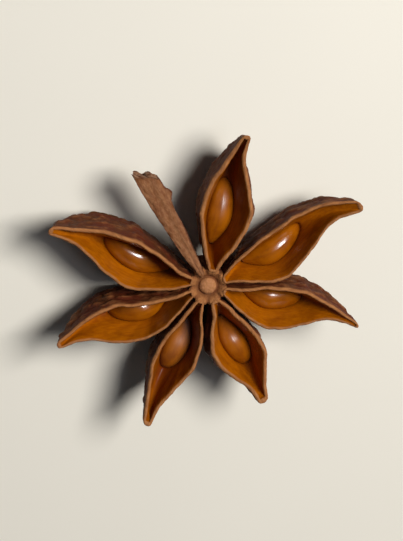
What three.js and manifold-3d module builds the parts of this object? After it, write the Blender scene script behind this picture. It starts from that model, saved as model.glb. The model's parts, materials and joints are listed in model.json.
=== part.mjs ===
// Star anise pod, in millimetres, +Z up, standing on its keels.
//
// Eight boat-shaped follicles stand round a short column. Seven have split open along the top, and each
// holds one loose seed in a smooth pit between two broad lips. The eighth never filled and is a thin
// closed blade with a torn end. Below the column is the stub of the broken stalk.
// The origin is on the floor, under the middle of the pod's outline.

import * as THREE from "three";
import { ParametricGeometry } from "three/addons/geometries/ParametricGeometry.js";
import { mergeVertices } from "three/addons/utils/BufferGeometryUtils.js";
import { ImprovedNoise } from "three/addons/math/ImprovedNoise.js";
import Module from "manifold-3d";

// Driving dimensions

const POD_HEIGHT = 7.4; // floor to the level of the open rims
const COLUMN_X = 0.306; // the column's place, which puts the origin under the outline's middle
const COLUMN_Y = -0.7835;

// One row for each follicle. angle is its bearing in degrees, and reach runs from the column's axis to the
// beak's tip. width is rim to rim at the belly, a share of the way along, and beak is the beak's width.
// depth is rim to keel, edge is how thick the rim is, rise lifts the beak's tip, and lean rolls the open side
// to the left as seen from the column, in degrees. To the left too, bow carries the belly and all beyond it,
// sweep carries the beak, and hook brings its tip back. seedAt and seedAside are where the middle of the seed lies.
// trough is how far the lip between seed and beak hangs below a straight line, or swells above it where below 0.
const OPEN_FOLLICLES = [
  { name: "1", angle: 75, reach: 16.3, width: 5.2, belly: 0.44, beak: 1.1, depth: 7.45, edge: 0.48, rise: 0.9, lean: 3,
    bow: 0, sweep: 0.6, hook: 0.3, seedAt: 7, seedAside: 0.3, seedLength: 7.2, trough: 0.6 },
  { name: "2", angle: 21.7, reach: 17.2, width: 4.95, belly: 0.4, beak: 1.5, depth: 7.5, edge: 0.36, rise: 1, lean: 6,
    bow: -0.25, sweep: 2.35, hook: 0.5, seedAt: 7.4, seedAside: 0.1, seedLength: 6.9, trough: -0.2 },
  { name: "3", angle: -18.7, reach: 15.7, width: 4.7, belly: 0.43, beak: 0.7, depth: 7.35, edge: 0.36, rise: 1, lean: -3,
    bow: -0.1, sweep: 1.3, hook: 0.4, seedAt: 7, seedAside: 0.1, seedLength: 6.6, trough: -0.7 },
  { name: "4", angle: -66.9, reach: 13.6, width: 5.2, belly: 0.51, beak: 1.35, depth: 7.5, edge: 0.46, rise: 0.5, lean: 6,
    bow: -0.4, sweep: 0.5, hook: 0.2, seedAt: 7.4, seedAside: 0.2, seedLength: 6, trough: 0.2 },
  { name: "5", angle: -116, reach: 15.6, width: 4.3, belly: 0.46, beak: 1.2, depth: 7.45, edge: 0.4, rise: 0.6, lean: -3,
    bow: 0.47, sweep: -0.1, hook: -0.35, seedAt: 7.4, seedAside: 0, seedLength: 6, trough: 0.6 },
  { name: "6", angle: -159.2, reach: 16.1, width: 4.4, belly: 0.52, beak: 1.05, depth: 7.35, edge: 0.36, rise: 0.8, lean: 3,
    bow: 0.55, sweep: -1.4, hook: -0.15, seedAt: 7.1, seedAside: -0.15, seedLength: 6.5, trough: 0.2 },
  { name: "7", angle: 159.5, reach: 17.3, width: 5, belly: 0.42, beak: 1.2, depth: 7.5, edge: 0.4, rise: 1, lean: 6,
    bow: -0.1, sweep: -1.3, hook: -0.1, seedAt: 7.2, seedAside: 0.2, seedLength: 7.7, trough: -0.5 },
];
const BLADE = { angle: 118, start: 1.2, reach: 13.1, width: 0.5, depth: 3.6, endWidth: 2.2, spurAt: 10.5, spur: 0.5 };

const ROOT_X = 1.55; // where a follicle's open rims begin, from the column's axis
const ROOT_DROP = 0.2; // how far the rims dip where they meet the column
const RIM_CROWN = 0.12; // the middle of the rim, above its edges
const SEED = { halfWidth: 1.35, halfHeight: 1.85, sunk: 3.85 }; // sunk from the rim level to its middle
const PIT_GAP = { side: 0.15, end: 0.2, floor: 0.16 }; // between the seed and its pit
// The pit closes over the seed, up to this bearing from the pit's floor, in degrees
const MOUTH = { ends: 100, sides: 112 };
const WRINKLE_HEIGHT = 0.3; // relief of the dried skin
const STALK_RADIUS = 1.05;
const KNOB_RADIUS = 0.85; // the dome on the column's top

// Share of the greatest width or depth, along a follicle from its root to its beak's tip
const ROOT_WIDTH = 0.25;
const DEEPEST_AT = 0.5;
const ROOT_DEPTH = 0.6;
const BEAK_DEPTH = 0.1;

// Rings of facets, from the bottom of the pit up over the rim and down to the keel
const RINGS = { pit: 4, lip: 2, rim: 2, shell: 7 };
const AROUND = 46;

const HUSK = new THREE.MeshStandardMaterial({ color: "#70422a", roughness: 0.72, metalness: 0 });
const SEED_COAT = new THREE.MeshStandardMaterial({ color: "#8a4d0c", roughness: 0.22, metalness: 0 });

// Shared curves

const { degToRad, lerp, clamp, smoothstep } = THREE.MathUtils;
const noise = new ImprovedNoise();

// The bearing round a surface, the same at both ends of its seam, and turning so that facets face out.
const turnOf = (u) => 2 * Math.PI * ((1 - u) % 1);

// An S-shaped fall from 1 to 0.
const ogee = (share) => 0.5 + 0.5 * Math.cos(Math.PI * clamp(share, 0, 1));

// 0 up to start, then rising to 1 at the tip.
const towardsTip = (along, start) => clamp((along - start) / (1 - start), 0, 1) ** 2;

// A slow waver of about 1 either way, different for each seed number.
const waver = (x, seed) => 0.6 * Math.sin(1.7 * x + seed) + 0.4 * Math.sin(3.1 * x + 2.3 * seed);

function widthShare({ width, belly, beak }, along) {
  if (along < belly) {
    return lerp(ROOT_WIDTH, 1, Math.sin((Math.PI / 2) * (along / belly)) ** 1.5);
  }
  return lerp(beak / width, 1, ogee((along - belly) / (1 - belly)) ** 1.2);
}

function depthShare(along) {
  if (along < DEEPEST_AT) {
    return lerp(ROOT_DEPTH, 1, Math.sin((Math.PI / 2) * (along / DEEPEST_AT)));
  }
  const share = clamp((along - DEEPEST_AT) / (1 - DEEPEST_AT), 0, 1);
  return lerp(BEAK_DEPTH, 1, (1 - share ** 2.1) ** 1.15);
}

// Wrinkles of the dried skin, drawn out along the follicle.
function wrinkle(x, y, z, seed) {
  const coarse = noise.noise(0.45 * x + 7 * seed, 0.95 * y, 0.95 * z);
  const fine = noise.noise(0.9 * x, 1.9 * y + 5 * seed, 1.9 * z);
  return 1 - 2.4 * Math.abs(coarse) + 0.5 * fine;
}

// Which band a ring lies in, and how far through it, from 0 to 1.
function bandOf(v) {
  let ring = v * Object.values(RINGS).reduce((a, b) => a + b);
  for (const [band, count] of Object.entries(RINGS)) {
    if (ring <= count + 1e-6) return [band, ring / count];
    ring -= count;
  }
  return ["shell", 1];
}

// A point of a straight and level follicle, moved by the follicle's own lean, curve and rise.
function setInPlace({ reach, depth, rise, lean, bow, sweep, hook }, x, y, z, target) {
  const along = (x - ROOT_X) / (reach - ROOT_X);
  const roll = degToRad(lean) * clamp(8 * along, 0, 1);
  const hinge = -0.5 * depth; // the roll's axis, under the rims
  const aside =
    bow * smoothstep(along, 0, 0.3) + sweep * smoothstep(along, 0.3, 0.85) - hook * towardsTip(along, 0.75);
  target.set(
    x,
    y * Math.cos(roll) + (z - hinge) * Math.sin(roll) + aside,
    hinge - y * Math.sin(roll) + (z - hinge) * Math.cos(roll) + rise * towardsTip(along, 0.62),
  );
}

// A unit sphere's point moved to the seed's form, which is squarer on its edge and narrows towards the column.
function seedBody({ x, y, z }) {
  const taper = 1 - 0.55 * Math.max(0, -x) ** 2;
  const square = Math.sign(z) * Math.sqrt(Math.abs(z) * Math.sqrt(Math.max(0, 1 - x * x)));
  return { x, y: y * taper, z: square * taper };
}

// The follicle's surface in its own frame: x out along it, y to its left, z up from the rim level.
function follicleSurface(follicle) {
  const { reach, width, depth, edge, seedAt, seedAside, seedLength, trough } = follicle;
  const seed = Number(follicle.name);
  const length = reach - ROOT_X;

  // The outline at the rim, for a bearing round it, drawn in by a distance from its edge.
  function rimPoint(turn, drawnIn) {
    const along = 0.5 + 0.5 * Math.cos(turn);
    const x = ROOT_X + along * length;
    const end = Math.tanh(3.4 * Math.abs(Math.sin(turn)));
    const half = 0.5 * width * widthShare(follicle, along) * (1 + 0.03 * waver(x, seed + Math.sign(Math.sin(turn))));
    const inset = Math.min(drawnIn, 0.58 * half);
    return {
      along,
      x: clamp(x, ROOT_X + inset, reach - 1.4 * inset),
      y: Math.sign(Math.sin(turn)) * (half - inset) * end,
      z:
        0.12 * waver(0.8 * x, 3 * seed + Math.sign(Math.sin(turn))) * Math.abs(Math.sin(turn)) -
        ROOT_DROP * ogee(along / 0.12),
    };
  }

  function pitPoint(turn, share) {
    const up = degToRad(share * lerp(MOUTH.ends, MOUTH.sides, Math.sin(turn) ** 2));
    const onto = new THREE.Vector3(Math.sin(up) * Math.cos(turn), Math.sin(up) * Math.sin(turn), -Math.cos(up));
    const body = seedBody(onto);
    return {
      x: seedAt + (0.5 * seedLength + PIT_GAP.end) * body.x,
      y: seedAside + (SEED.halfWidth + PIT_GAP.side) * body.y,
      z: (SEED.halfHeight + PIT_GAP.floor) * body.z - SEED.sunk,
    };
  }

  function lipPoint(turn, share) {
    const low = pitPoint(turn, 1);
    const high = rimPoint(turn, edge);
    const sag = trough * Math.max(0, Math.cos(turn)) ** 2;
    return {
      x: lerp(low.x, high.x, share),
      y: lerp(low.y, high.y, share),
      z: lerp(low.z, high.z - RIM_CROWN, share) - sag * Math.sin(Math.PI * share),
    };
  }

  function rimTopPoint(turn, share) {
    const point = rimPoint(turn, edge * (1 - share));
    point.z -= RIM_CROWN * (1 - Math.sin(Math.PI * clamp(share, 0, 1)));
    return point;
  }

  function shellPoint(turn, share) {
    const point = rimPoint(turn, 0);
    const hull = (1 - share ** 2.7) ** (1 / 2.7) * (1 + 0.12 * Math.sin(Math.PI * share) * (1 - share));
    const deep = depth * depthShare(point.along);
    point.x = lerp(point.x, Math.min(point.x, reach - 0.5), share);
    point.y *= hull;
    point.z = lerp(point.z - RIM_CROWN, -deep, share);
    const skin = Math.sin(Math.PI * Math.min(share, 0.5)) * towardsTip(point.along, 0.05) ** 0.25;
    const lift = WRINKLE_HEIGHT * skin * wrinkle(point.x, point.y, point.z, seed);
    point.y += Math.sign(point.y) * lift * hull;
    point.z -= lift * share;
    return point;
  }

  const bands = { pit: pitPoint, lip: lipPoint, rim: rimTopPoint, shell: shellPoint };
  return (u, v, target) => {
    const [band, share] = bandOf(v);
    const { x, y, z } = bands[band](turnOf(u), share);
    setInPlace(follicle, x, y, z, target);
  };
}

// The unfilled follicle: a closed blade with a flat back, a blunt torn end and a spur near it.
function bladeSurface({ start, reach, width, depth, endWidth, spurAt, spur }) {
  return (u, v, target) => {
    const turn = turnOf(u);
    const along = 0.5 - 0.5 * Math.cos(Math.PI * v);
    const x = lerp(start, reach, along);
    const blunt = v % 1 === 0 ? 0 : Math.sin(Math.PI * v) ** 0.22; // closed at both ends
    const half = 0.5 * lerp(width, endWidth, Math.sin((Math.PI / 2) * along));
    const deep = depth * lerp(0.9, 0.5, along ** 1.5);
    const side = Math.sin(turn);
    const up = Math.cos(turn);
    const back = up > 0 ? 0.2 * up ** 2 : up * deep;
    const knock = spur * Math.exp(-(((x - spurAt) / 0.55) ** 2)) * clamp(-side, 0, 1) ** 3;
    target.set(
      x + 0.9 * side * towardsTip(along, 0.8),
      blunt * (half * Math.sign(side) * Math.abs(side) ** 0.8 - knock),
      blunt * (back + 0.1 * waver(1.6 * x, 2)) - 0.35 * ogee(1 - along) - 0.2,
    );
  };
}

function seedSurface(follicle) {
  return (u, v, target) => {
    const turn = turnOf(u);
    const ring = Math.sin(Math.PI * v);
    const onto = new THREE.Vector3(-Math.cos(Math.PI * v), ring * Math.sin(turn), ring * Math.cos(turn));
    const body = seedBody(onto);
    const x = follicle.seedAt + 0.5 * follicle.seedLength * body.x;
    const y = follicle.seedAside + SEED.halfWidth * body.y;
    setInPlace(follicle, x, y, SEED.halfHeight * body.z - SEED.sunk, target);
  };
}

// The column, its dome in a moat, the disc that the keels grow from, and the stalk's stub.
function columnGeometry() {
  const top = POD_HEIGHT;
  const dome = (degrees) => [
    KNOB_RADIUS * Math.cos(degToRad(degrees)),
    top - 0.95 + 0.6 * Math.sin(degToRad(degrees)),
  ];
  const profile = [
    [0, 0],
    [STALK_RADIUS, 0],
    [0.95 * STALK_RADIUS, 1.0],
    [1.15 * STALK_RADIUS, 1.9],
    [1.9, 2.6],
    [1.95, 4.2],
    [1.95, top - 0.6],
    [1.75, top - 0.35],
    [1.5, top - 0.35],
    [1.2, top - 0.65],
    [1.0, top - 0.92],
    dome(5),
    dome(40),
    dome(70),
    [0, top - 0.35],
  ];
  return new THREE.LatheGeometry(profile.map(([r, z]) => new THREE.Vector2(r, z)), 24).rotateX(Math.PI / 2);
}

// Solids

const wasm = await Module();
wasm.setup();

// A closed geometry as a solid. Facets that a pole has squeezed to nothing are dropped.
function solidOf(geometry) {
  const bare = geometry.clone();
  bare.deleteAttribute("normal");
  bare.deleteAttribute("uv");
  const merged = mergeVertices(bare, 1e-4);
  const corners = merged.index.array;
  const triVerts = [];
  for (let i = 0; i < corners.length; i += 3) {
    const [a, b, c] = corners.slice(i, i + 3);
    if (a !== b && b !== c && c !== a) triVerts.push(a, b, c);
  }
  const vertProperties = merged.attributes.position.array;
  return new wasm.Manifold(
    new wasm.Mesh({ numProp: 3, vertProperties, triVerts: new Uint32Array(triVerts) }),
  );
}

function geometryOf(solid) {
  const { vertProperties, triVerts } = solid.getMesh();
  return new THREE.BufferGeometry()
    .setAttribute("position", new THREE.BufferAttribute(vertProperties, 3))
    .setIndex(new THREE.BufferAttribute(triVerts, 1));
}

// From a follicle's own frame to the pod's: turned to its bearing, at rim level, round the column.
function placement({ angle }) {
  return new THREE.Matrix4()
    .makeRotationZ(degToRad(angle))
    .premultiply(new THREE.Matrix4().makeTranslation(COLUMN_X, COLUMN_Y, POD_HEIGHT));
}

function openFollicle(follicle) {
  const stacks = Object.values(RINGS).reduce((a, b) => a + b);
  return new ParametricGeometry(follicleSurface(follicle), AROUND, stacks).applyMatrix4(placement(follicle));
}

function blade() {
  return new ParametricGeometry(bladeSurface(BLADE), 20, 14).applyMatrix4(placement(BLADE));
}

function podGeometry() {
  const column = columnGeometry().translate(COLUMN_X, COLUMN_Y, 0);
  const floor = new THREE.BoxGeometry(60, 60, 10).translate(0, 0, -5);
  const grown = [blade(), ...OPEN_FOLLICLES.map(openFollicle)].reduce(
    (joined, next) => joined.add(solidOf(next)),
    solidOf(column),
  );
  return geometryOf(grown.subtract(solidOf(floor)));
}

function seedMesh(follicle) {
  const grown = solidOf(new ParametricGeometry(seedSurface(follicle), 16, 9));
  const mesh = new THREE.Mesh(geometryOf(grown).applyMatrix4(placement(follicle)), SEED_COAT);
  mesh.name = "seed_" + follicle.name;
  return mesh;
}

const starAnise = new THREE.Group();
const pod = new THREE.Mesh(podGeometry(), HUSK);
pod.name = "pod";
starAnise.add(pod, ...OPEN_FOLLICLES.map(seedMesh));

export default starAnise;
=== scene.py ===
"""A dried star anise pod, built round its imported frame.

Lengths are millimetres, apart from those of the settings and the stage, which are metres. A follicle's own
frame has x out along it from the column's axis, y to its left and z up from the level of the open rims.
"""

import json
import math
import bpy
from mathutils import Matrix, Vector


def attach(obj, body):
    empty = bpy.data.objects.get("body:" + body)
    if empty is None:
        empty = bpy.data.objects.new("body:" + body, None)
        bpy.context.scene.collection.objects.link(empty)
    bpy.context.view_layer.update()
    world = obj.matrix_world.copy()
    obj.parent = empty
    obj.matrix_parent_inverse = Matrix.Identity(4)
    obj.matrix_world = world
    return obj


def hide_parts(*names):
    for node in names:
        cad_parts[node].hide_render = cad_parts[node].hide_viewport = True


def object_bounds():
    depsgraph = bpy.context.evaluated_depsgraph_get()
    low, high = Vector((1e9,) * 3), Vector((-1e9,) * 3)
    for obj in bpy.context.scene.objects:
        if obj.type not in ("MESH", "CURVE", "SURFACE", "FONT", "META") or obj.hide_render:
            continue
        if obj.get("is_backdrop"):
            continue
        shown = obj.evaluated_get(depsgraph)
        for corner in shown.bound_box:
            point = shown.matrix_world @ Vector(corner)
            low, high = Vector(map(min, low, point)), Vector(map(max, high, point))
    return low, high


bl_info = {
    "name": "Star Anise Pod",
    "version": (1, 0, 0),
    "blender": (4, 5, 0),
    "location": "3D View > Sidebar > Star Anise",
    "description": "Builds a dried star anise pod: open follicles, seeds, a closed follicle and the column",
    "category": "Add Mesh",
}

from typing import NamedTuple

import bmesh
import bpy
from mathutils import Matrix, Vector, noise

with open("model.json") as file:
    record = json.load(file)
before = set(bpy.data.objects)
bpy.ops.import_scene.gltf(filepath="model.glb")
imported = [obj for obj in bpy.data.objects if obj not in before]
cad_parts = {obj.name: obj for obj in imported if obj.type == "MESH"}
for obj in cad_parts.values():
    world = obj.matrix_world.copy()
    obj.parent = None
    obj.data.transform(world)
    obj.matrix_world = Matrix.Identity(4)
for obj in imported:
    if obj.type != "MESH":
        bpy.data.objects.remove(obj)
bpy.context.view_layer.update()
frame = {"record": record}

MM = 0.001  # in metres
COLUMN = Vector(frame["record"]["mounts"][0]["pos_m"])  # the column's foot
POD_HEIGHT = 7.4  # floor to the level of the open rims

WRINKLE_SEED = 1
noise.seed_set(WRINKLE_SEED)  # noise_vector would otherwise differ from run to run


class Follicle(NamedTuple):
    """One open follicle.

    bearing and lean are in degrees. The width is at the belly, a share of the way along. rise lifts the
    beak's tip, and lean rolls the open side to the left. To the left too, bow carries the belly and all
    beyond it, sweep carries the beak, and hook brings its tip back.
    """

    name: str
    bearing: float
    reach: float  # from the column's axis to the beak's tip
    width: float
    belly: float
    beak: float  # the beak's width
    depth: float  # rim to keel
    edge: float  # thickness of the rim
    rise: float
    lean: float
    bow: float
    sweep: float
    hook: float
    seed_at: float  # the middle of the seed, along the follicle and aside from its middle line
    seed_aside: float
    seed_length: float
    trough: float  # how far the lining sags between seed and beak, or swells where below 0
    seed_gloss: float  # 1 on a seed that is still shiny, 0 on a dull one
    painted_shade: float  # painted shade over the whole lining, for walls that lie in shade, and below 0 less of it where a cast shadow already falls


OPEN_FOLLICLES = (
    Follicle(
        name="1", bearing=75, reach=16.3, width=5.2, belly=0.44, beak=1.1, depth=7.45,
        edge=0.48, rise=0.9, lean=3, bow=0, sweep=0.6, hook=0.3,
        seed_at=7, seed_aside=0.3, seed_length=7.2, trough=0.6, seed_gloss=0.65, painted_shade=0.3,
    ),
    Follicle(
        name="2", bearing=21.7, reach=17.2, width=4.95, belly=0.4, beak=1.5, depth=7.5,
        edge=0.36, rise=1, lean=6, bow=-0.25, sweep=2.35, hook=0.5,
        seed_at=7.4, seed_aside=0.1, seed_length=6.9, trough=-0.2, seed_gloss=1, painted_shade=-0.1,
    ),
    Follicle(
        name="3", bearing=-18.7, reach=15.7, width=4.7, belly=0.43, beak=0.7, depth=7.35,
        edge=0.36, rise=1, lean=-3, bow=-0.1, sweep=1.3, hook=0.4,
        seed_at=7, seed_aside=0.1, seed_length=6.6, trough=-0.7, seed_gloss=1, painted_shade=-0.4,
    ),
    Follicle(
        name="4", bearing=-66.9, reach=13.6, width=5.2, belly=0.51, beak=1.35, depth=7.5,
        edge=0.46, rise=0.5, lean=6, bow=-0.4, sweep=0.5, hook=0.2,
        seed_at=7.4, seed_aside=0.2, seed_length=6, trough=0.2, seed_gloss=0.65, painted_shade=0,
    ),
    Follicle(
        name="5", bearing=-116, reach=15.6, width=4.3, belly=0.46, beak=1.2, depth=7.45,
        edge=0.4, rise=0.6, lean=-3, bow=0.47, sweep=-0.1, hook=-0.35,
        seed_at=7.4, seed_aside=0, seed_length=6, trough=0.6, seed_gloss=0, painted_shade=0.35,
    ),
    Follicle(
        name="6", bearing=-159.2, reach=16.1, width=4.4, belly=0.52, beak=1.05, depth=7.35,
        edge=0.36, rise=0.8, lean=3, bow=0.55, sweep=-1.4, hook=-0.15,
        seed_at=7.1, seed_aside=-0.15, seed_length=6.5, trough=0.2, seed_gloss=1, painted_shade=0.1,
    ),
    Follicle(
        name="7", bearing=159.5, reach=17.3, width=5, belly=0.42, beak=1.2, depth=7.5,
        edge=0.4, rise=1, lean=6, bow=-0.1, sweep=-1.3, hook=-0.1,
        seed_at=7.2, seed_aside=0.2, seed_length=7.7, trough=-0.5, seed_gloss=1, painted_shade=-0.2,
    ),
)

# The closed follicle
CLOSED_BEARING = 118.0
CLOSED_START, CLOSED_REACH = 1.2, 13.1  # from the column's axis
CLOSED_NARROW, CLOSED_WIDE = 0.5, 2.2  # its width at the column and at the torn end
CLOSED_DEPTH = 3.6
CLOSED_CROWN = 0.14  # the middle of its upper edge, above the sides
CLOSED_SEAM = 0.05  # depth of the line between its two valves
CLOSED_WAVE = 0.1  # how far its upper edge wavers
CLOSED_SLANT = 0.9  # how far the torn end slants, from its middle to a side
CLOSED_AROUND = 128  # faces round it
# Its rings of faces, of which the first few open from a point, and those across its torn end
CLOSED_RINGS, CLOSED_START_RINGS, CLOSED_END_RINGS = 150, 4, 16
SPUR_AT, SPUR_HEIGHT, SPUR_WIDTH = 10.5, 0.5, 0.5  # on its right side

ROOT_X = 1.55  # where an open follicle's rims begin, from the column's axis
ROOT_DROP = 0.2  # how far the rims dip where they meet the column
RIM_CROWN = 0.12  # the middle of the rim, above its edges
RIM_WAVE, RIM_ROUGHNESS, RIM_NICKS = 0.12, 0.06, 0.05  # how far the rims waver, and how ragged they are
FIBRE_HEIGHT = 0.035  # relief of the fibres on the rims
LINING_SAG = 0.1  # all round, besides the trough
LINING_RELIEF = 0.02
SECTION_POWER = 2.7  # 2 makes the outer walls' section an ellipse, and more makes it squarer

# Share of the greatest width or depth, along an open follicle from its root to its beak's tip
ROOT_WIDTH = 0.25
DEEPEST_AT, ROOT_DEPTH, BEAK_DEPTH = 0.5, 0.6, 0.1

SEED_HALF_WIDTH, SEED_HALF_HEIGHT = 1.35, 1.85
SEED_TAPER = 0.55  # how much of its width and height the seed has lost at the inner end
SEED_SUNK = 3.85  # rim level down to the seed's middle
SCAR_DEPTH, SEED_SEAM, SEED_SWELL = 0.17, 0.015, 0.02  # relief of the seed
PIT_GAP = 0.02  # between the seed and its pit
MOUTH_ENDS, MOUTH_SIDES = 100, 112  # how far round from its floor the pit reaches, in degrees

GROOVE_WIDTH, GROOVE_DEPTH = 0.16, 0.22  # the column's grooves, one between each two follicles
STALK_RELIEF, DOME_RELIEF = 0.12, 0.02
COLUMN_AROUND = 128

# An open follicle's rings of faces, from the bottom of its pit up over the rim and down to the keel, and
# the faces round each
RINGS = {"pit": 20, "lip": 16, "rim": 8, "shell": 64}
AROUND = 280

# The stage, in metres
PICTURE_WIDTH, PICTURE_HEIGHT = 403, 541  # in pixels
LENS = 180  # the camera's focal length in millimetres
FLOOR_HALF_SIZE = 0.6
KEY_PLACE, KEY_SIZE = (0.159, 0.124, 0.311), 0.16
# A second lamp that gives only highlights, with its share of the main light's power
GLINT_PLACE, GLINT_SIZE, GLINT_SHARE = (0.082, 0.056, 0.346), 0.075, 0.6


# Curves


def lerp(low, high, share):
    return low + (high - low) * share


def clamp(value, low=0.0, high=1.0):
    return min(max(value, low), high)


def smooth(value, low, high):
    """A smooth rise from 0 at low to 1 at high."""
    share = clamp((value - low) / (high - low))
    return share * share * (3 - 2 * share)


def ogee(share):
    """An S-shaped fall from 1 to 0."""
    return 0.5 + 0.5 * math.cos(math.pi * clamp(share))


def towards_tip(along, start):
    """0 up to start, then rising to 1 at the tip."""
    return clamp((along - start) / (1 - start)) ** 2


def waver(x, number):
    """A slow waver of about 1 either way, different for each number."""
    return 0.6 * math.sin(1.7 * x + number) + 0.4 * math.sin(3.1 * x + 2.3 * number)


def sign(value):
    return (value > 0) - (value < 0)


def width_share(follicle, along):
    """Share of the greatest width, from the root at 0 to the beak's tip at 1."""
    belly = follicle.belly
    if along < belly:
        return lerp(ROOT_WIDTH, 1, math.sin(math.pi / 2 * along / belly) ** 1.5)
    return lerp(follicle.beak / follicle.width, 1, ogee((along - belly) / (1 - belly)) ** 1.2)


def depth_share(along):
    """Share of the greatest depth, from the root at 0 to the beak's tip at 1."""
    if along < DEEPEST_AT:
        return lerp(ROOT_DEPTH, 1, math.sin(math.pi / 2 * along / DEEPEST_AT))
    share = clamp((along - DEEPEST_AT) / (1 - DEEPEST_AT))
    return lerp(BEAK_DEPTH, 1, (1 - share**2.1) ** 1.15)


def skin_relief(run, number):
    """Height of the dried skin's wrinkles, -1 in the furrows and 1 on the ridges."""
    x, y, z = run
    shift = 31.7 * number  # so that no two follicles are alike
    warp = 0.55 * noise.noise_vector(Vector((0.35 * x + shift, 0.6 * y, 0.6 * z)))
    crumple = abs(noise.noise(Vector((0.36 * x + shift, 0.8 * y, 0.8 * z)) + warp))
    crease = abs(noise.noise(Vector((0.9 * x, 2.1 * y + shift, 1.9 * z)) + warp))
    grain = noise.noise(Vector((3.4 * x, 5.2 * y, 5.2 * z + shift)))
    return clamp(2.0 * crumple + 1.5 * crease + 0.25 * grain - 0.7, -1, 1)


# Shapes of the follicles


def band_of(row):
    """Which band a ring lies in, and how far through it."""
    for band, count in RINGS.items():
        if row <= count:
            return band, row / count
        row -= count
    return "shell", 1.0


def rim_point(follicle, turn, drawn_in):
    """A point of the open edge, for a bearing round it, and its share of the way along.

    drawn_in is how far inside the edge it lies.
    """
    side = sign(math.sin(turn))
    number = int(follicle.name)
    along = 0.5 + 0.5 * math.cos(turn)
    x = ROOT_X + along * (follicle.reach - ROOT_X)
    end = math.tanh(3.4 * abs(math.sin(turn)))
    half = 0.5 * follicle.width * width_share(follicle, along) * (1 + 0.03 * waver(x, number + side))
    inset = min(drawn_in, 0.58 * half)
    ragged = noise.noise(Vector((1.6 * x, 9.0 * number + 3.0 * side, 0.0)))
    nicks = noise.noise(Vector((4.5 * x, 9.0 * number + 3.0 * side, 5.0)))
    drop = RIM_ROUGHNESS * ragged + RIM_NICKS * min(nicks, 0.15)
    wave = (RIM_WAVE * waver(0.8 * x, 3 * number + side) + drop) * abs(math.sin(turn))
    return Vector(
        (
            clamp(x, ROOT_X + inset, follicle.reach - 1.4 * inset),
            side * (half - inset + 0.03 * ragged) * end,
            wave - ROOT_DROP * ogee(along / 0.12),
        )
    ), along


def seed_body(follicle, ball, grown=0.0):
    """A unit ball's point moved to the seed's form: squarer on its edge, and narrow towards the column."""
    taper = 1 - SEED_TAPER * max(0, -ball.x) ** 2
    square = sign(ball.z) * math.sqrt(abs(ball.z) * math.sqrt(max(0, 1 - ball.x**2)))
    return Vector(
        (
            follicle.seed_at + (0.5 * follicle.seed_length + grown) * ball.x,
            follicle.seed_aside + (SEED_HALF_WIDTH + grown) * ball.y * taper,
            (SEED_HALF_HEIGHT + grown) * square * taper - SEED_SUNK,
        )
    )


def pit_point(follicle, turn, share):
    """The pit hugs the seed, and touches it at the mouth."""
    up = math.radians(share * lerp(MOUTH_ENDS, MOUTH_SIDES, math.sin(turn) ** 2))
    ball = Vector((math.sin(up) * math.cos(turn), math.sin(up) * math.sin(turn), -math.cos(up)))
    return seed_body(follicle, ball, PIT_GAP * (1 - 1.6 * smooth(share, 0.8, 1.0)))


def lip_point(follicle, turn, share):
    """The lining from the pit's mouth up to the rim, with the trough towards the beak."""
    low = pit_point(follicle, turn, 1.0)
    high, _ = rim_point(follicle, turn, follicle.edge)
    high.z -= RIM_CROWN
    point = low.lerp(high, share)
    sag = follicle.trough * max(0, math.cos(turn)) ** 2 + LINING_SAG
    point.z -= sag * math.sin(math.pi * share)
    return point


def rim_top_point(follicle, turn, share):
    """The crowned top of the rim, from its inner edge to its outer one."""
    point, _ = rim_point(follicle, turn, follicle.edge * (1 - share))
    point.z -= RIM_CROWN * (1 - math.sin(math.pi * share))
    return point


def shell_point(follicle, turn, share):
    """The outside, from the rim down to the keel."""
    share = 1 - (1 - share) ** 1.4
    point, along = rim_point(follicle, turn, 0.0)
    section = (1 - share**SECTION_POWER) ** (1 / SECTION_POWER)
    hull = section * (1 + 0.12 * math.sin(math.pi * share) * (1 - share))
    deep = follicle.depth * depth_share(along)
    return Vector(
        (
            lerp(point.x, min(point.x, follicle.reach - 0.5), share),
            point.y * hull,
            lerp(point.z - RIM_CROWN, -deep, share),
        )
    )


BANDS = {"pit": pit_point, "lip": lip_point, "rim": rim_top_point, "shell": shell_point}


def place_in_pod(follicle, point):
    """From a follicle's own frame to the pod's, with its roll, curve and rise."""
    along = (point.x - ROOT_X) / (follicle.reach - ROOT_X)
    roll = math.radians(follicle.lean) * clamp(8 * along)
    hinge = -0.5 * follicle.depth
    up = point.z - hinge
    x = point.x
    aside = follicle.bow * smooth(along, 0, 0.3) + follicle.sweep * smooth(along, 0.3, 0.85)
    aside -= follicle.hook * towards_tip(along, 0.75)
    y = point.y * math.cos(roll) + up * math.sin(roll) + aside
    z = hinge - point.y * math.sin(roll) + up * math.cos(roll) + follicle.rise * towards_tip(along, 0.62)
    bearing = math.radians(follicle.bearing)
    return Vector(
        (
            x * math.cos(bearing) - y * math.sin(bearing) + COLUMN.x / MM,
            x * math.sin(bearing) + y * math.cos(bearing) + COLUMN.y / MM,
            z + POD_HEIGHT,
        )
    )


class Marks(NamedTuple):
    """The vertex attributes that the husk's material reads."""

    run: object  # place in the follicle's own frame, in millimetres
    lining: object  # 1 on the polished inside
    rim: object  # 1 on the split edge
    relief: object  # 0 in the furrows, 1 on the ridges
    deep: object  # 1 where painted shade darkens the lining most
    torn: object  # 1 on broken ends
    knob: object  # 1 on the column's dome


def add_marks(mesh):
    """Adds the attributes, which has to come before the mesh has any vertices."""
    layers = mesh.verts.layers
    return Marks(layers.float_vector.new("run"), *(layers.float.new(name) for name in Marks._fields[1:]))


def wrapped_grid(around, rows):
    """A sheet of faces to be wrapped round, its marks, and each vertex's column and row."""
    mesh = bmesh.new()
    marks = add_marks(mesh)
    bmesh.ops.create_grid(mesh, x_segments=around, y_segments=rows, size=0.5)
    places = {
        vert: (round((vert.co.x + 0.5) * around), round((vert.co.y + 0.5) * rows)) for vert in mesh.verts
    }
    return mesh, marks, places


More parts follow.
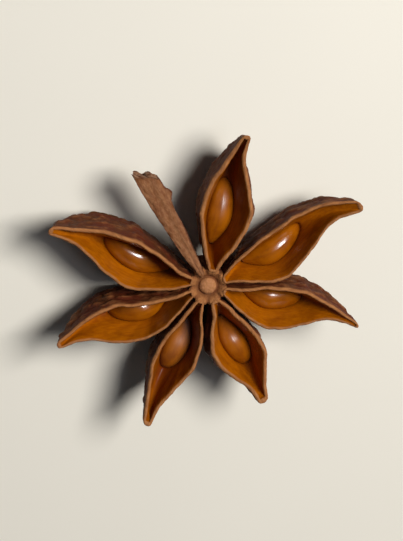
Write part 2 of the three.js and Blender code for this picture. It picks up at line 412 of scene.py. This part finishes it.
def close_up(mesh):
    """Joins the wrapped sheet's edges, and turns its faces outwards."""
    bmesh.ops.remove_doubles(mesh, verts=mesh.verts, dist=1e-4)
    bmesh.ops.recalc_face_normals(mesh, faces=mesh.faces)
    mesh.normal_update()


def finish_piece(mesh, name, nodes, material):
    """Adds the mesh, which is in millimetres, as a piece of the pod that stands for CAD nodes."""
    for vert in mesh.verts:
        vert.co.z = max(vert.co.z, 0.0)  # the relief doesn't sink into the floor
    bmesh.ops.scale(mesh, vec=(MM, MM, MM), verts=mesh.verts)
    for face in mesh.faces:
        face.smooth = True
    data = bpy.data.meshes.new(name)
    mesh.to_mesh(data)
    mesh.free()
    data.materials.append(material)
    piece = bpy.data.objects.new(name, data)
    bpy.context.scene.collection.objects.link(piece)
    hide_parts(*nodes)
    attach(piece, "root")


def open_follicle(follicle, wrinkle_height):
    """A hollow boat: its pit, the lining up to the rim, the rim and the outside, in one skin."""
    number = int(follicle.name)
    mesh, marks, places = wrapped_grid(AROUND, sum(RINGS.values()))
    lips = []
    for vert, (column, row) in places.items():
        turn = 2 * math.pi * (column % AROUND) / AROUND
        turn += 0.2 * math.sin(2 * turn)  # evens out the spacing along the sides
        band, share = band_of(row)
        point = BANDS[band](follicle, turn, share)
        if band == "lip" and share < 0.85:  # the rest, next to the rim, stays crisp
            lips.append(vert)
        vert[marks.run] = point
        if band == "shell":
            vert[marks.rim] = 1 - smooth(share, 0.0, 0.03)
        elif band == "rim":
            vert[marks.rim] = 1.0
            vert[marks.lining] = 1 - smooth(share, 0.0, 0.25)
        else:
            # painted shade: the lining darkens deeper down, towards the narrow root and by each follicle's
            # own amount for walls in shade
            neck = 1 - smooth(point.x, 1.8, 4.0)
            vert[marks.rim] = smooth(share, 0.95, 1.0) if band == "lip" else 0.0
            vert[marks.lining] = 1.0
            vert[marks.deep] = clamp(follicle.painted_shade + 0.6 * smooth(-point.z, 2.0, 4.0) + 0.15 * neck)
        vert.co = place_in_pod(follicle, point)
    close_up(mesh)
    lips = [vert for vert in lips if vert.is_valid]
    for _ in range(4):
        bmesh.ops.smooth_vert(
            mesh, verts=lips, factor=0.5, use_axis_x=True, use_axis_y=True, use_axis_z=True
        )
    mesh.normal_update()
    for vert in mesh.verts:
        run = vert[marks.run]
        skin = (1 - vert[marks.lining]) * smooth(-run.z, 0.1, 1.8)
        relief = skin_relief(run, number)
        fibre = noise.noise(Vector((2.0 * run.x, 9.0 * run.y, 6.0 * run.z + number)))
        lift = wrinkle_height * skin * relief + FIBRE_HEIGHT * vert[marks.rim] * fibre
        lift += LINING_RELIEF * vert[marks.lining] * noise.noise(run)
        vert.co += vert.normal * lift
        vert[marks.relief] = 0.5 + 0.5 * relief
    return mesh


def closed_follicle(wrinkle_height):
    """The unfilled follicle: two valves pressed together, with a blunt torn end and a spur near it."""
    mesh, marks, places = wrapped_grid(CLOSED_AROUND, CLOSED_RINGS + CLOSED_END_RINGS)
    turned = Matrix.Rotation(math.radians(CLOSED_BEARING), 3, "Z")
    top = COLUMN / MM + Vector((0, 0, POD_HEIGHT))
    for vert, (column, row) in places.items():
        turn = 2 * math.pi * (column % CLOSED_AROUND) / CLOSED_AROUND
        along = clamp(row / CLOSED_RINGS)
        if row < CLOSED_RINGS:
            ring = clamp((row + 0.001) / CLOSED_START_RINGS)
        else:
            ring = 1 - (row - CLOSED_RINGS) / CLOSED_END_RINGS
        x = lerp(CLOSED_START, CLOSED_REACH, along)
        half = 0.5 * lerp(CLOSED_NARROW, CLOSED_WIDE, math.sin(math.pi / 2 * along))
        deep = CLOSED_DEPTH * lerp(0.9, 0.5, along**1.5)
        side, up = math.sin(turn), math.cos(turn)
        seam = CLOSED_SEAM * math.exp(-((side / 0.09) ** 2))
        back = CLOSED_CROWN * up**2 - seam if up > 0 else up * deep
        spur = SPUR_HEIGHT * math.exp(-(((x - SPUR_AT) / SPUR_WIDTH) ** 2)) * clamp(-side) ** 3
        y = ring * (half * sign(side) * abs(side) ** 0.6 - spur)
        z = ring * (back + CLOSED_WAVE * waver(1.6 * x, 2)) - 0.35 * ogee(1 - along) - 0.2
        tear = 0.3 * noise.noise(Vector((0, 1.6 * y, 1.2 * z)))
        tear += 0.08 * noise.noise(Vector((7, 6 * y, 4 * z)))
        slant = CLOSED_SLANT * side * ring * towards_tip(along, 0.8)
        point = Vector((x + slant + smooth(along, 0.93, 1.0) * tear, y, z))
        vert[marks.run] = point
        vert[marks.torn] = lerp(0.3, 1.0, smooth(along, 0.985, 1.0))
        vert[marks.rim] = 0.6 * smooth(up, 0.1, 0.7)
        vert.co = turned @ point + top
    close_up(mesh)
    for vert in mesh.verts:
        run = vert[marks.run]
        relief = skin_relief(run, 9)
        vert.co += vert.normal * wrinkle_height * (0.6 - 0.5 * vert[marks.rim]) * relief
        vert[marks.relief] = 0.55 + 0.25 * relief
    return mesh


# Shapes of the column and the seeds


COLUMN_PROFILE = (  # radius and height, from the stalk's broken end up to the dome
    (0.0, 0.0), (0.6, 0.0), (0.97, 0.02), (1.03, 0.12), (0.98, 0.5), (1.0, 1.0), (1.2, 1.9),
    (1.9, 2.6), (1.95, 4.2), (1.97, 6.6), (1.85, 6.98), (1.65, 7.08), (1.42, 6.98), (1.2, 6.75),
    (1.02, 6.55), (0.9, 6.58), (0.8, 6.78), (0.6, 6.97), (0.3, 7.06), (0.0, 7.08),
)


def eased(before, start, end, after, share):
    """From start at 0 to end at 1, on a curve that the values before and after lead."""
    second = 2 * before - 5 * start + 4 * end - after
    third = 3 * start - before - 3 * end + after
    return 0.5 * (2 * start + (end - before) * share + second * share * share + third * share**3)


def eased_profile(points, steps):
    """A smooth line through the points, with the same number of steps between each two."""
    line = []
    ends = (points[0], *points, points[-1])
    for corners in zip(ends, ends[1:], ends[2:], ends[3:]):
        for step in range(steps):
            line.append(tuple(eased(*values, step / steps) for values in zip(*corners)))
    return [*line, points[-1]]


def column():
    """The core that the follicles grow from, its dome in a moat, and the stub of the stalk."""
    bearings = sorted([follicle.bearing % 360 for follicle in OPEN_FOLLICLES] + [CLOSED_BEARING])
    seams = [(low + high) / 2 for low, high in zip(bearings, [*bearings[1:], bearings[0] + 360])]
    mesh = bmesh.new()
    marks = add_marks(mesh)
    profile = eased_profile(COLUMN_PROFILE, 6)
    line = [mesh.verts.new((max(radius, 0), 0, height)) for radius, height in profile]
    edges = [mesh.edges.new(pair) for pair in zip(line, line[1:])]
    bmesh.ops.spin(
        mesh,
        geom=[*line, *edges],
        cent=(0, 0, 0),
        axis=(0, 0, 1),
        angle=2 * math.pi,
        steps=COLUMN_AROUND,
        use_merge=True,
    )
    close_up(mesh)
    for vert in mesh.verts:
        x, y, z = vert.co
        radius = math.hypot(x, y)
        turn = math.atan2(y, x)
        run = Vector((z, 1.6 * radius * math.cos(turn), 1.6 * radius * math.sin(turn)))
        relief = skin_relief(run, 11)
        dome = smooth(z, 6.5, 6.75) * (1 - smooth(radius, 0.8, 0.95))
        fold = math.cos(7 * turn + 0.6) * smooth(radius, 0.3, 0.7)
        off_seam = min(abs((math.degrees(turn) - seam + 180) % 360 - 180) for seam in seams)
        groove = math.exp(-((math.radians(off_seam) * radius / GROOVE_WIDTH) ** 2))
        groove *= smooth(radius, 1.0, 1.5) * smooth(z, 5.5, 6.4)
        stub = 1 - smooth(z, 1.6, 2.6)
        end = (1 - smooth(z, 0.0, 0.12)) * (1 - smooth(radius, 0.9, 1.0))
        vert[marks.run] = run
        split = smooth(z, 6.0, 6.4) * lerp(0.3, 1.0, smooth(radius, 1.0, 1.4))
        vert[marks.rim] = split * (1 - 0.7 * groove)
        vert[marks.knob] = dome
        vert[marks.torn] = max(end, 0.35 * stub)
        vert[marks.relief] = clamp(0.5 + 0.3 * relief)
        lift = STALK_RELIEF * relief * stub * smooth(z, 0.03, 0.3) + DOME_RELIEF * (fold + relief) * dome
        vert.co += vert.normal * (lift - GROOVE_DEPTH * groove)
        vert.co += Vector((COLUMN.x / MM, COLUMN.y / MM, 0))
    return mesh


def seed(follicle):
    """One seed lying on edge in its pit, with a faint seam round it and a scar at the inner end."""
    mesh = bmesh.new()
    run = mesh.verts.layers.float_vector.new("run")
    scar, gloss, seam = (mesh.verts.layers.float.new(name) for name in ("scar", "gloss", "seam"))
    bmesh.ops.create_uvsphere(mesh, u_segments=96, v_segments=72, radius=1.0)
    bmesh.ops.rotate(mesh, verts=mesh.verts, cent=(0, 0, 0), matrix=Matrix.Rotation(math.pi / 2, 3, "Y"))
    number = int(follicle.name)
    for vert in mesh.verts:
        along, side, up = vert.co
        edge = math.exp(-((math.atan2(side, abs(up)) / 0.12) ** 2)) * (1 - abs(along) ** 6)
        hollow = math.exp(-(((1 + along) / 0.035) ** 2))
        swell = SEED_SWELL * noise.noise(Vector((1.3 * along, side, up + 5 * number)))
        point = seed_body(follicle, vert.co, swell)
        point += Vector((SCAR_DEPTH * hollow, 0, SEED_SEAM * sign(up) * edge))
        vert[run] = point - Vector((follicle.seed_at, follicle.seed_aside, -SEED_SUNK))
        vert[scar] = math.exp(-(((1 + along) / 0.05) ** 2))
        vert[seam] = edge
        vert[gloss] = follicle.seed_gloss
        vert.co = place_in_pod(follicle, point)
    bmesh.ops.recalc_face_normals(mesh, faces=mesh.faces)
    return mesh


# Materials


# Where the mix node has its two values and its result, for each kind of value
MIX_SOCKETS = {"FLOAT": (2, 3, 0), "RGBA": (6, 7, 2)}


class NodeBoard:
    """A material's node tree, filled by short calls."""

    def __init__(self, name):
        self.material = bpy.data.materials.new(name)
        self.material.use_nodes = True
        self.tree = self.material.node_tree
        self.shader = self.tree.nodes["Principled BSDF"]

    def add(self, kind, settings=(), **inputs):
        node = self.tree.nodes.new(kind)
        for key, value in dict(settings).items():
            setattr(node, key, value)
        for key, value in inputs.items():
            self.feed(node.inputs[key.replace("_", " ")], value)
        return node

    def feed(self, socket, value):
        if isinstance(value, bpy.types.NodeSocket):
            self.tree.links.new(value, socket)
        else:
            socket.default_value = value

    def mark(self, name, output="Fac"):
        """One of the attributes of the mesh."""
        return self.add("ShaderNodeAttribute", {"attribute_name": name}).outputs[output]

    def mix(self, factor, low, high, kind="RGBA"):
        """From low where the factor is 0 to high where it is 1, in colours or numbers."""
        low_at, high_at, result_at = MIX_SOCKETS[kind]
        node = self.add("ShaderNodeMix", {"data_type": kind})
        self.feed(node.inputs[0], factor)
        self.feed(node.inputs[low_at], low)
        self.feed(node.inputs[high_at], high)
        return node.outputs[result_at]

    def span(self, value, low, high, to_low=0.0, to_high=1.0):
        """A smooth change from to_low to to_high, while the value goes from low to high."""
        node = self.add("ShaderNodeMapRange", {"interpolation_type": "SMOOTHSTEP"})
        for index, number in enumerate((value, low, high, to_low, to_high)):
            self.feed(node.inputs[index], number)
        return node.outputs[0]

    def combine(self, first, second, operation="ADD"):
        node = self.add("ShaderNodeMath", {"operation": operation})
        self.feed(node.inputs[0], first)
        self.feed(node.inputs[1], second)
        return node.outputs[0]

    def cloud(self, run, scale, stretch, detail, roughness=0.55):
        """Noise in millimetres along a follicle's own frame, with features of about 1 / scale."""
        moved = self.add("ShaderNodeMapping", Vector=run, Scale=stretch).outputs[0]
        made = self.add("ShaderNodeTexNoise", Vector=moved, Scale=scale, Detail=detail, Roughness=roughness)
        return made.outputs[0]


def colour(red, green, blue):
    """A linear colour from the 0 to 255 values of a screen."""
    return tuple(
        value / 12.92 if value <= 0.04045 else ((value + 0.055) / 1.055) ** 2.4
        for value in (red / 255, green / 255, blue / 255)
    ) + (1.0,)


def husk_material(looks):
    made = bpy.data.materials.get("husk_skin")
    if made:
        return made
    board = NodeBoard("husk_skin")
    run = board.mark("run", "Vector")
    lining, rim, relief, deep, torn, knob = (board.mark(name) for name in Marks._fields[1:])

    patches = board.cloud(run, 0.55, (1, 1, 1), 3)
    grain = board.cloud(run, 3.2, (0.5, 1, 1), 6, 0.65)
    skin = board.mix(board.span(patches, 0.4, 0.62), looks.skin, looks.skin_red)
    # lighter on the ridges and darker in the furrows of the relief, varied by the grain
    raised = board.combine(relief, board.combine(board.combine(grain, -0.5), 1.6, "MULTIPLY"))
    skin = board.mix(board.span(raised, 0.5, 1.25), skin, looks.skin_ridge)
    skin = board.mix(board.span(raised, 0.3, -0.1), skin, looks.skin_furrow)

    streaks = board.cloud(run, 1.6, (0.35, 3, 3), 5, 0.6)
    amber = board.mix(board.span(streaks, 0.35, 0.7), looks.lining, looks.lining_streak)
    amber = board.mix(board.span(patches, 0.5, 0.75, 0.0, 0.35), amber, looks.lining_dark_and_shade)
    # painted shade, as far as the deep mark says
    amber = board.mix(deep, amber, looks.lining_dark_and_shade)

    fibres = board.cloud(run, 1.8, (0.5, 3, 2), 4)
    edge = board.mix(board.span(fibres, 0.3, 0.7), looks.rim_dark, looks.rim)
    broken = board.mix(board.span(grain, 0.35, 0.65), looks.skin, looks.torn)

    base = board.mix(rim, skin, edge)
    base = board.mix(lining, base, amber)
    base = board.mix(torn, base, broken)
    dome = board.mix(board.span(grain, 0.3, 0.7), looks.rim, looks.knob)
    base = board.mix(knob, base, dome)
    board.feed(board.shader.inputs["Base Color"], base)

    polish = board.span(streaks, 0.3, 0.7, 0.36, 0.48)
    matt = board.span(grain, 0.3, 0.7, 0.62, 0.82)
    board.feed(board.shader.inputs["Roughness"], board.mix(lining, matt, polish, "FLOAT"))
    board.shader.inputs["Specular IOR Level"].default_value = 0.2

    fine = board.cloud(run, 7.0, (0.5, 1, 1), 6, 0.65)
    rough_part = board.combine(1.0, lining, "SUBTRACT")
    fine_part = board.combine(fine, rough_part, "MULTIPLY")
    height = board.combine(fine_part, board.combine(streaks, 0.12, "MULTIPLY"))
    bump = board.add("ShaderNodeBump", Strength=0.6, Distance=0.00012, Height=height)
    board.feed(board.shader.inputs["Normal"], bump.outputs[0])
    return board.material


def seed_material(looks):
    made = bpy.data.materials.get("seed_gloss")
    if made:
        return made
    board = NodeBoard("seed_gloss")
    run = board.mark("run", "Vector")
    mottle = board.cloud(run, 0.7, (0.6, 1, 1), 4)
    fibre = board.cloud(run, 3.0, (0.25, 1, 1), 5, 0.6)
    coat = board.mix(board.span(mottle, 0.38, 0.66), looks.coat, looks.coat_dark_and_shade)
    coat = board.mix(board.span(fibre, 0.45, 0.75, 0.0, 0.45), coat, looks.coat_dark_and_shade)
    coat = board.mix(board.combine(board.mark("seam"), 0.35, "MULTIPLY"), coat, looks.coat_dark_and_shade)
    along = board.add("ShaderNodeSeparateXYZ", Vector=run).outputs[0]
    # painted shade: darker towards the seed's outer end
    coat = board.mix(board.span(along, 2.2, 3.6, 0.0, 0.6), coat, looks.coat_dark_and_shade)
    coat = board.mix(board.mark("scar"), coat, looks.scar)
    board.feed(board.shader.inputs["Base Color"], coat)
    dull = board.combine(board.combine(1.0, board.mark("gloss"), "SUBTRACT"), 0.32, "MULTIPLY")
    polish = board.span(fibre, 0.3, 0.8, 0.16, 0.26)
    board.feed(board.shader.inputs["Roughness"], board.combine(polish, dull))
    bump = board.add("ShaderNodeBump", Strength=0.25, Distance=0.00006, Height=fibre)
    board.feed(board.shader.inputs["Normal"], bump.outputs[0])
    return board.material


# Stage


def add_floor(looks):
    mesh = bmesh.new()
    bmesh.ops.create_grid(mesh, x_segments=1, y_segments=1, size=FLOOR_HALF_SIZE)
    data = bpy.data.meshes.new("floor")
    mesh.to_mesh(data)
    mesh.free()
    board = NodeBoard("floor")
    mottle = board.add("ShaderNodeTexNoise", Scale=60.0, Detail=3.0).outputs[0]
    shade = tuple(0.96 * value for value in looks.floor[:3]) + (1.0,)
    board.feed(board.shader.inputs["Base Color"], board.mix(mottle, tuple(looks.floor), shade))
    board.shader.inputs["Roughness"].default_value = 0.6
    data.materials.append(board.material)
    floor = bpy.data.objects.new("floor", data)
    bpy.context.scene.collection.objects.link(floor)
    floor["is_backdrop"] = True


def light_room(looks):
    world = bpy.data.worlds.new("room")
    bpy.context.scene.world = world
    world.use_nodes = True
    background = world.node_tree.nodes["Background"]
    background.inputs["Color"].default_value = (0.98, 0.98, 1.0, 1.0)
    background.inputs["Strength"].default_value = looks.fill


def add_lamp(name, place, size, power, tint):
    """A round lamp that faces the pod."""
    data = bpy.data.lights.new(name, "AREA")
    data.shape = "DISK"
    data.size = size
    data.energy = power
    data.color = tint
    lamp = bpy.data.objects.new(name, data)
    bpy.context.scene.collection.objects.link(lamp)
    place = Vector(place)
    lamp.matrix_world = Matrix.Translation(place) @ place.to_track_quat("Z", "Y").to_matrix().to_4x4()
    return lamp


def add_camera(looks):
    """The camera, which leans to one side and has the pod's middle in the middle of its view."""
    low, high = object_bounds()
    middle = (low + high) / 2
    towards = Vector(
        (
            math.sin(looks.tilt) * math.cos(looks.bearing),
            math.sin(looks.tilt) * math.sin(looks.bearing),
            math.cos(looks.tilt),
        )
    )
    across = Vector((0, 1, 0)).cross(towards).normalized()
    up = towards.cross(across)
    data = bpy.data.cameras.new("camera")
    data.lens = LENS
    data.clip_start, data.clip_end = 0.01, 10
    half_view = data.sensor_width / 2 / data.lens * PICTURE_WIDTH / PICTURE_HEIGHT
    place = middle + towards * (looks.view_width / 2 / half_view)
    turned = Matrix((across, up, towards)).transposed().to_4x4()
    camera = bpy.data.objects.new("camera", data)
    bpy.context.scene.collection.objects.link(camera)
    camera.matrix_world = Matrix.Translation(place) @ turned
    bpy.context.scene.camera = camera


# Settings


def length(name, description, default):
    return bpy.props.FloatProperty(
        name=name, description=description, default=default, min=0.0, unit="LENGTH", precision=5
    )


def paint(name, description, red, green, blue):
    return bpy.props.FloatVectorProperty(
        name=name,
        description=description,
        subtype="COLOR",
        size=4,
        min=0.0,
        max=1.0,
        default=colour(red, green, blue),
    )


def angle(name, description, degrees):
    return bpy.props.FloatProperty(
        name=name, description=description, default=math.radians(degrees), subtype="ANGLE"
    )


def strength(name, description, default):
    return bpy.props.FloatProperty(name=name, description=description, default=default, min=0.0)


class HuskLooks(bpy.types.PropertyGroup):
    """Relief and colours of the husk."""

    wrinkle_height: length("Wrinkle height", "Relief of the dried skin", 0.00017)
    skin: paint("Skin", "Dried outer skin", 82, 43, 20)
    skin_red: paint("Red skin", "Redder patches of the outer skin", 86, 36, 17)
    # lighter where the relief is raised
    skin_ridge: paint("Ridges", "Worn ridges of the outer skin", 128, 80, 46)
    skin_furrow: paint("Furrows", "Dark furrows of the outer skin", 40, 18, 8)
    lining: paint("Lining", "Polished inside of the follicles", 166, 93, 3)
    lining_streak: paint("Lining streaks", "Browner streaks of the inside", 146, 76, 1)
    # painted shade for the deep, narrow and shaded parts of the lining, and also the darker tone of its
    # random patches
    lining_dark_and_shade: paint("Deep lining", "The inside where it is deep or narrow", 82, 20, 1)
    rim: paint("Rim", "Fibres of the split edges", 162, 110, 66)
    rim_dark: paint("Dark rim", "Gaps between those fibres", 138, 88, 52)
    knob: paint("Dome", "The dome on the column", 176, 122, 86)
    torn: paint("Torn ends", "Broken ends of the stalk and of the closed follicle", 146, 112, 88)


class SeedLooks(bpy.types.PropertyGroup):
    """Colours of the seeds."""

    coat: paint("Coat", "Seed coat", 150, 84, 4)
    # also the painted shade at the seed's outer end
    coat_dark_and_shade: paint("Dark coat", "Darker streaks and ends of the coat", 122, 62, 2)
    scar: paint("Scar", "Scar where the seed hung", 190, 150, 104)


class StageLooks(bpy.types.PropertyGroup):
    """Floor, lights and camera."""

    floor: paint("Floor", "Plain floor", 226, 224, 216)
    tilt: angle("Tilt", "Camera's lean from straight overhead", 20)
    bearing: angle("Bearing", "Side that the camera leans to", 110)
    view_width: length("View width", "What the camera's short side spans", 0.0405)
    key: strength("Key", "Power of the main light in watts", 1.75)
    fill: strength("Fill", "Strength of the light from all round", 0.042)


# Operators and panel


class STARANISE_OT_open_follicles(bpy.types.Operator):
    """Add the follicles that have split open"""

    bl_idname = "staranise.open_follicles"
    bl_label = "Open Follicles"

    def execute(self, context):
        looks = context.scene.star_anise_husk
        for follicle in OPEN_FOLLICLES:
            mesh = open_follicle(follicle, looks.wrinkle_height / MM)
            finish_piece(mesh, "follicle_" + follicle.name, ["pod"], husk_material(looks))
        return {"FINISHED"}


class STARANISE_OT_closed_follicle(bpy.types.Operator):
    """Add the thin follicle that never filled"""

    bl_idname = "staranise.closed_follicle"
    bl_label = "Closed Follicle"

    def execute(self, context):
        looks = context.scene.star_anise_husk
        mesh = closed_follicle(looks.wrinkle_height / MM)
        finish_piece(mesh, "closed_follicle", ["pod"], husk_material(looks))
        return {"FINISHED"}


class STARANISE_OT_column(bpy.types.Operator):
    """Add the column, its dome and the stalk's stub"""

    bl_idname = "staranise.column"
    bl_label = "Column"

    def execute(self, context):
        looks = context.scene.star_anise_husk
        finish_piece(column(), "column", ["pod"], husk_material(looks))
        return {"FINISHED"}


class STARANISE_OT_seeds(bpy.types.Operator):
    """Add the seed in each open follicle"""

    bl_idname = "staranise.seeds"
    bl_label = "Seeds"

    def execute(self, context):
        looks = context.scene.star_anise_seeds
        for follicle in OPEN_FOLLICLES:
            node = "seed_" + follicle.name
            finish_piece(seed(follicle), "glossy_" + node, [node], seed_material(looks))
        return {"FINISHED"}


class STARANISE_OT_stage(bpy.types.Operator):
    """Add the floor, the lights and the camera"""

    bl_idname = "staranise.stage"
    bl_label = "Stage"

    def execute(self, context):
        looks = context.scene.star_anise_stage
        context.scene.view_settings.view_transform = "Standard"
        add_floor(looks)
        light_room(looks)
        key = add_lamp("key", KEY_PLACE, KEY_SIZE, looks.key, (1.0, 0.96, 0.9))
        key.visible_glossy = False
        glint = add_lamp("top", GLINT_PLACE, GLINT_SIZE, GLINT_SHARE * looks.key, (0.97, 0.98, 1.0))
        glint.visible_diffuse = False
        add_camera(looks)
        return {"FINISHED"}


class STARANISE_PT_panel(bpy.types.Panel):
    """The pod's parts and stage"""

    bl_label = "Star Anise"
    bl_idname = "STARANISE_PT_panel"
    bl_space_type = "VIEW_3D"
    bl_region_type = "UI"
    bl_category = "Star Anise"

    def draw(self, context):
        for operator in OPERATORS:
            self.layout.operator(operator.bl_idname)


OPERATORS = (
    STARANISE_OT_open_follicles,
    STARANISE_OT_closed_follicle,
    STARANISE_OT_column,
    STARANISE_OT_seeds,
    STARANISE_OT_stage,
)
CLASSES = (HuskLooks, SeedLooks, StageLooks, *OPERATORS, STARANISE_PT_panel)


def register():
    for item in CLASSES:
        bpy.utils.register_class(item)
    bpy.types.Scene.star_anise_husk = bpy.props.PointerProperty(type=HuskLooks)
    bpy.types.Scene.star_anise_seeds = bpy.props.PointerProperty(type=SeedLooks)
    bpy.types.Scene.star_anise_stage = bpy.props.PointerProperty(type=StageLooks)


def unregister():
    del bpy.types.Scene.star_anise_stage
    del bpy.types.Scene.star_anise_seeds
    del bpy.types.Scene.star_anise_husk
    for item in reversed(CLASSES):
        bpy.utils.unregister_class(item)


def main():
    register()
    bpy.ops.staranise.open_follicles()
    bpy.ops.staranise.closed_follicle()
    bpy.ops.staranise.column()
    bpy.ops.staranise.seeds()
    bpy.ops.staranise.stage()


if __name__ == "__main__":
    main()
